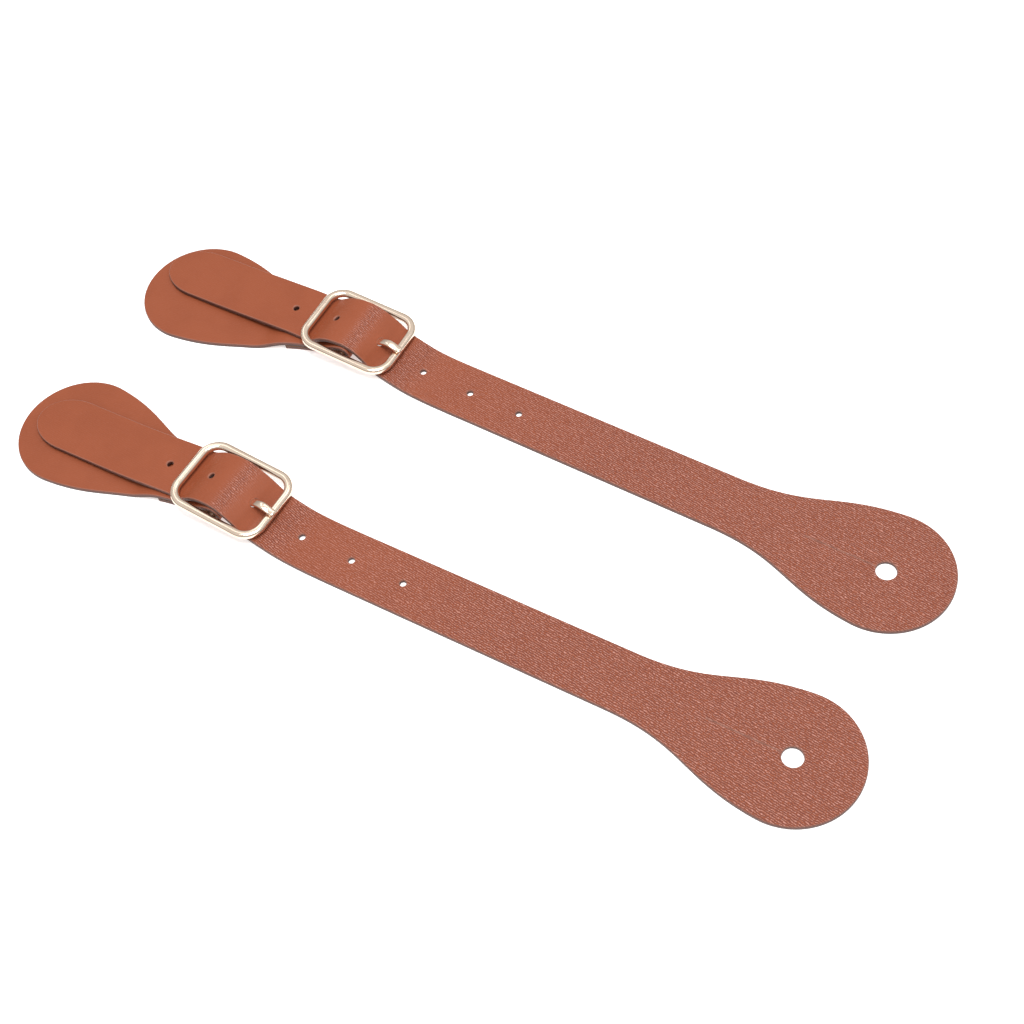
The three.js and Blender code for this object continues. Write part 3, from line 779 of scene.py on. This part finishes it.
def buckle_prong(side, material):
    arm = smooth_line(np.array(PRONG_ARM), 60)
    turn = np.radians(np.linspace(-80, 330, 50)) + EYE_START
    eye = np.column_stack([EYE_RADIUS * np.cos(turn), EYE_RADIUS * np.sin(turn)])
    parts = []
    for line, thickness, tapered in ((eye, EYE_THICKNESS, False), (arm, PRONG_THICKNESS, True)):
        ahead = np.gradient(line, axis=0)
        ahead /= np.linalg.norm(ahead, axis=1)[:, None]
        centres = np.column_stack([line[:, 0], np.zeros(len(line)), line[:, 1]])
        tangents = np.column_stack([ahead[:, 0], np.zeros(len(line)), ahead[:, 1]])
        sides = np.tile([0.0, 1.0, 0.0], (len(line), 1))
        scale = np.ones(len(line))
        if tapered:
            t = np.linspace(0, 1, len(line))
            into_tip = np.clip(t - PRONG_TIP_START, 0, 1) / PRONG_TIP_SHARE
            scale = np.sqrt(np.clip(1 - into_tip ** 2, 0.02, 1)) * (1 - PRONG_TAPER * t ** 2)
        parts.append(swept(centres, tangents, sides, PRONG_WIDTH, thickness, False, PRONG_SQUARENESS,
                           scale))
    yaw = Matrix.Translation((0, 0, CENTRE_BAR_HEIGHT)) @ Matrix.Rotation(PRONG_YAW, 4, "Z")
    obj = metal_object(f"{side}_buckle_prong_gold", parts, buckle_matrix(side) @ yaw, material)
    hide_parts(f"{side}_buckle_prong")
    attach(obj, f"{side}_buckle_prong")


def smooth_line(points, count):
    """A Catmull-Rom curve through points."""
    padded = np.vstack([2 * points[0] - points[1], points, 2 * points[-1] - points[-2]])
    t = np.linspace(0, len(points) - 1 - 1e-9, count)
    i = t.astype(int)
    u = (t - i)[:, None]
    p0, p1, p2, p3 = (padded[i + k] for k in range(4))
    return 0.5 * (2 * p1 + (p2 - p0) * u + (2 * p0 - 5 * p1 + 4 * p2 - p3) * u ** 2
                  + (3 * p1 - p0 - 3 * p2 + p3) * u ** 3)


# ---- Materials -----------------------------------------------------------------------------------

class Nodes:
    """Short calls for building a material's nodes."""

    def __init__(self, name):
        self.material = bpy.data.materials.new(name)
        self.material.use_nodes = True
        self.tree = self.material.node_tree
        self.shader = self.tree.nodes["Principled BSDF"]

    def add(self, kind, inputs=None, **settings):
        node = self.tree.nodes.new(kind)
        for key, value in settings.items():
            setattr(node, key, value)
        for key, value in (inputs or {}).items():
            self.put(value, node.inputs[key])
        return node

    def put(self, value, socket):
        if isinstance(value, bpy.types.NodeSocket):
            self.tree.links.new(value, socket)
        else:
            socket.default_value = value

    def cut_place(self):
        """Where the point lay on the leather before it was bent, in millimetres."""
        return self.add("ShaderNodeAttribute", attribute_name="cut_place").outputs["Vector"]

    def value(self, name):
        return self.add("ShaderNodeAttribute", attribute_name=name).outputs["Fac"]

    def maths(self, operation, a, b=0.0, clamp=False):
        node = self.add("ShaderNodeMath", {0: a, 1: b}, operation=operation, use_clamp=clamp)
        return node.outputs[0]

    def ramp(self, value, low, high):
        node = self.add("ShaderNodeMapRange", {0: value, 1: low, 2: high}, interpolation_type="SMOOTHSTEP")
        return node.outputs[0]

    def mix(self, share, a, b):
        node = self.add("ShaderNodeMix", data_type="RGBA")
        self.put(share, node.inputs[0])
        self.put(a, node.inputs[6])
        self.put(b, node.inputs[7])
        return node.outputs[2]

    def noise(self, place, scale, detail=2.0, rough=0.5):
        node = self.add("ShaderNodeTexNoise", {"Vector": place, "Scale": scale, "Detail": detail,
                                               "Roughness": rough})
        return node.outputs["Fac"]

    def bump(self, height, distance, strength=1.0, normal=None):
        node = self.add("ShaderNodeBump", {"Height": height, "Distance": distance, "Strength": strength})
        if normal is not None:
            self.put(normal, node.inputs["Normal"])
        return node.outputs["Normal"]


RIDGE_PITCH = 0.8
RIDGE_LEAN = -0.13    # how far the ridges turn from the strap's line
RIDGE_WAVER = 11.5

TAN = ((0.276, 0.0630, 0.0213, 1), (0.296, 0.0695, 0.0245, 1))
TAN_SPECKLE = (0.318, 0.081, 0.032, 1)
# Painted shade for the creases between the grain's ridges.
PAINTED_CREASE_SHADE = (0.165, 0.040, 0.024, 1)
# Painted highlight for the tops of the grain's ridges.
PAINTED_RIDGE_HIGHLIGHT = (0.53, 0.24, 0.188, 1)
# Painted highlight for a light rim along every edge, where light catches the rounded edges.
PAINTED_EDGE_HIGHLIGHT = (0.35, 0.18, 0.14, 1)
EDGE_PAINT = (0.085, 0.036, 0.03, 1)
# The cut edge's lit colour above, and its painted shade below.
CUT_EDGE_LIT = ((0.16, 0.05, 0.028, 1), (0.22, 0.077, 0.046, 1))
CUT_EDGE_SHADED = ((0.05, 0.023, 0.02, 1), (0.09, 0.045, 0.04, 1))
FLESH_NAP = ((0.17, 0.072, 0.038, 1), (0.28, 0.13, 0.072, 1))
FLESH_PATCH = (0.23, 0.11, 0.065, 1)
PALE_GOLD = ((0.86, 0.68, 0.54, 1), (0.91, 0.745, 0.60, 1))


def leather_grain():
    """Tan grain leather: shallow wavy ridges drawn out along the strap, with painted shade in the creases
    between them and painted highlights on their tops.
    """
    n = Nodes("tan_grain_leather")
    place = n.cut_place()
    depth = n.value("grain_depth")
    along, across, _ = n.add("ShaderNodeSeparateXYZ", {0: place}).outputs
    across = n.maths("ADD", across, n.maths("MULTIPLY", along, RIDGE_LEAN))
    drawn_out = n.add("ShaderNodeMapping", {"Vector": place, "Scale": (0.44, 0.58, 0.0)}).outputs[0]
    waver = n.maths("MULTIPLY", n.noise(drawn_out, 1.0, 2.5, 0.6), RIDGE_WAVER)
    phase = n.maths("ADD", n.maths("MULTIPLY", across, 2 * math.pi / RIDGE_PITCH), waver)
    wave = n.maths("ADD", n.maths("MULTIPLY", n.maths("SINE", phase), 0.5), 0.5)
    short = n.add("ShaderNodeMapping", {"Vector": place, "Scale": (1.3, 1.7, 0.0)}).outputs[0]
    breaks = n.ramp(n.noise(short, 1.0, 2.0, 0.6), 0.36, 0.6)
    ridge = n.maths("MULTIPLY", wave, n.maths("ADD", n.maths("MULTIPLY", breaks, 0.75), 0.25))
    fine = n.noise(place, 3.4, 3.0, 0.6)
    pores = n.maths("MULTIPLY", fine, 0.22)
    height = n.maths("ADD", n.maths("MULTIPLY", ridge, depth), pores)
    normal = n.bump(height, 0.0002, 1.0)
    tone = n.noise(place, 0.05, 3.0, 0.55)
    speckle = n.noise(place, 1.2, 2.0, 0.6)
    base = n.mix(n.ramp(tone, 0.35, 0.65), *TAN)
    base = n.mix(n.maths("MULTIPLY", n.ramp(speckle, 0.35, 0.7), 0.2), base, TAN_SPECKLE)
    # Painted shade: the creases between the ridges are darkened, as much as the grain is deep.
    crease_shade = n.maths("MULTIPLY", n.maths("SUBTRACT", 1.0, n.ramp(wave, 0.0, 0.5)), depth, clamp=True)
    base = n.mix(crease_shade, base, PAINTED_CREASE_SHADE)
    # Painted highlight: the ridges' tops are lightened, as much as the grain is deep.
    ridge_highlight = n.maths("MULTIPLY", n.ramp(ridge, 0.25, 0.95), depth, clamp=True)
    base = n.mix(ridge_highlight, base, PAINTED_RIDGE_HIGHLIGHT)
    # Painted highlight: a light rim along the outline, the holes and the slit, where light catches the
    # rounded edges.
    rim_highlight = n.maths("SUBTRACT", 1.0, n.ramp(n.value("from_edge"), 0.1, 0.55))
    base = n.mix(n.maths("MULTIPLY", rim_highlight, 0.55), base, PAINTED_EDGE_HIGHLIGHT)
    painted = n.maths("SUBTRACT", 1.0, n.ramp(n.value("from_outline"), 0.06, 0.2))
    base = n.mix(n.maths("MULTIPLY", painted, 0.75), base, EDGE_PAINT)
    n.put(base, n.shader.inputs["Base Color"])
    rough = n.add("ShaderNodeMapRange", {0: ridge, 3: 0.6, 4: 0.42}).outputs[0]
    n.put(rough, n.shader.inputs["Roughness"])
    n.put(normal, n.shader.inputs["Normal"])
    n.shader.inputs["Specular IOR Level"].default_value = 0.35
    return n.material


def leather_cut():
    """The cut edge: leather colour above, and greyer below, where painted shade stands in for the thin
    shadow under the edge.
    """
    n = Nodes("cut_edge_lit_and_shaded")
    place = n.cut_place()
    height = n.add("ShaderNodeSeparateXYZ", {0: place}).outputs["Z"]
    fibre = n.noise(place, 2.2, 4.0, 0.65)
    upper = n.mix(n.ramp(fibre, 0.35, 0.7), *CUT_EDGE_LIT)
    lower = n.mix(n.ramp(fibre, 0.35, 0.7), *CUT_EDGE_SHADED)
    # Painted shade: the lower part of the cut edge is darker, for the thin shadow under the edge, and the
    # upper part keeps the lit leather colour.
    base = n.mix(n.ramp(height, -0.4, 0.6), lower, upper)
    n.put(base, n.shader.inputs["Base Color"])
    n.shader.inputs["Roughness"].default_value = 0.6
    n.put(n.bump(fibre, 0.0001, 0.8), n.shader.inputs["Normal"])
    return n.material


def leather_flesh():
    """The brushed underside."""
    n = Nodes("brushed_flesh_side")
    place = n.cut_place()
    nap = n.noise(place, 2.6, 5.0, 0.7)
    broad = n.noise(place, 0.12, 3.0, 0.6)
    base = n.mix(n.ramp(nap, 0.3, 0.7), *FLESH_NAP)
    base = n.mix(n.maths("MULTIPLY", n.ramp(broad, 0.4, 0.7), 0.3), base, FLESH_PATCH)
    n.put(base, n.shader.inputs["Base Color"])
    n.shader.inputs["Roughness"].default_value = 0.9
    n.shader.inputs["Sheen Weight"].default_value = 0.2
    n.put(n.bump(nap, 0.00016, 0.8), n.shader.inputs["Normal"])
    return n.material


def pale_gold():
    """Polished pale gold plate with faint handling marks."""
    n = Nodes("pale_gold_plate")
    place = n.add("ShaderNodeTexCoord").outputs["Object"]
    marks = n.noise(place, 900.0, 4.0, 0.6)
    broad = n.noise(place, 160.0, 2.0, 0.5)
    base = n.mix(n.ramp(broad, 0.3, 0.7), *PALE_GOLD)
    n.put(base, n.shader.inputs["Base Color"])
    n.shader.inputs["Metallic"].default_value = 1.0
    rough = n.add("ShaderNodeMapRange", {0: marks, 1: 0.3, 2: 0.7, 3: 0.10, 4: 0.18}).outputs[0]
    n.put(rough, n.shader.inputs["Roughness"])
    n.put(n.bump(broad, 0.0001, 0.2), n.shader.inputs["Normal"])
    return n.material


# ---- Stage ---------------------------------------------------------------------------------------

CAMERA_TARGET = Vector((0.0208, 0.0035, 0.0))
CAMERA_DISTANCE = 0.5789
CAMERA_AZIMUTH = math.radians(38.88)
CAMERA_ELEVATION = math.radians(55.38)
CAMERA_ROLL = math.radians(10.1)
CAMERA_LENS = 54.44
FLOOR_SIZE = 6.0
FLOOR_WHITE = 0.93
FLOOR_GLOW = 0.48
ROOM_SHADES = {"From Min": 0.1, "From Max": 0.75, "To Min": 0.3, "To Max": 0.78}


def camera():
    data = bpy.data.cameras.new("camera")
    data.lens = CAMERA_LENS
    data.clip_start = 0.01
    data.clip_end = 20
    obj = bpy.data.objects.new("camera", data)
    bpy.context.scene.collection.objects.link(obj)
    back = Vector((math.sin(CAMERA_AZIMUTH) * math.cos(CAMERA_ELEVATION),
                   -math.cos(CAMERA_AZIMUTH) * math.cos(CAMERA_ELEVATION), math.sin(CAMERA_ELEVATION)))
    right = Vector((math.cos(CAMERA_AZIMUTH), math.sin(CAMERA_AZIMUTH), 0))
    up = back.cross(right)
    level = Matrix((right, up, back)).transposed().to_4x4()
    obj.matrix_world = (Matrix.Translation(CAMERA_TARGET + back * CAMERA_DISTANCE) @ level
                        @ Matrix.Rotation(-CAMERA_ROLL, 4, "Z"))
    bpy.context.scene.camera = obj


def area_light(name, place, target, size, power):
    data = bpy.data.lights.new(name, "AREA")
    data.shape = "RECTANGLE"
    data.size, data.size_y = size
    data.energy = power
    obj = bpy.data.objects.new(name, data)
    bpy.context.scene.collection.objects.link(obj)
    obj.location = place
    obj.rotation_mode = "QUATERNION"
    obj.rotation_quaternion = (Vector(target) - Vector(place)).to_track_quat("-Z", "Y")


def paper_floor():
    """White paper, lit a little from below."""
    mesh = bpy.data.meshes.new("floor")
    half = FLOOR_SIZE / 2
    mesh.from_pydata([(-half, -half, 0), (half, -half, 0), (half, half, 0), (-half, half, 0)], [],
                     [(0, 1, 2, 3)])
    floor = bpy.data.objects.new("floor", mesh)
    bpy.context.scene.collection.objects.link(floor)
    n = Nodes("white_paper")
    n.shader.inputs["Base Color"].default_value = (FLOOR_WHITE, FLOOR_WHITE, FLOOR_WHITE, 1)
    n.shader.inputs["Roughness"].default_value = 0.9
    n.shader.inputs["Emission Color"].default_value = (1, 1, 1, 1)
    n.shader.inputs["Emission Strength"].default_value = FLOOR_GLOW
    mesh.materials.append(n.material)


def soft_room():
    """Grey near the horizon and lighter overhead."""
    world = bpy.data.worlds.new("soft_room")
    bpy.context.scene.world = world
    world.use_nodes = True
    tree = world.node_tree
    background = tree.nodes["Background"]
    background.inputs["Strength"].default_value = 1.0
    towards = tree.nodes.new("ShaderNodeTexCoord")
    split = tree.nodes.new("ShaderNodeSeparateXYZ")
    ceiling = tree.nodes.new("ShaderNodeMapRange")
    ceiling.interpolation_type = "SMOOTHSTEP"
    for name, value in ROOM_SHADES.items():
        ceiling.inputs[name].default_value = value
    tree.links.new(towards.outputs["Generated"], split.inputs[0])
    tree.links.new(split.outputs["Z"], ceiling.inputs[0])
    tree.links.new(ceiling.outputs[0], background.inputs["Color"])


def studio():
    paper_floor()
    soft_room()
    area_light("top_softbox", (0.12, -0.08, 1.05), (0, 0, 0), (0.5, 0.5), 8.5)
    area_light("back_softbox", (-0.08, 0.42, 0.92), (0.08, 0, 0), (0.42, 0.2), 0.34)
    area_light("left_softbox", (-0.62, 0.36, 0.90), (-0.08, 0, 0), (0.16, 0.7), 0.39)
    bpy.context.scene.view_settings.view_transform = "Standard"


# ---- The object ----------------------------------------------------------------------------------

camera()
studio()
leather = [leather_grain(), leather_cut(), leather_flesh()]
gold = pale_gold()
for side in SIDES:
    billet(side, leather)
    buckle_strap(side, leather)
    buckle_frame(side, gold)
    buckle_prong(side, gold)
    for number in (1, 2):
        rivet = frame["nodes"][f"{side}_fold_rivet_{number}"]
        rivet.data.materials.clear()
        rivet.data.materials.append(gold)
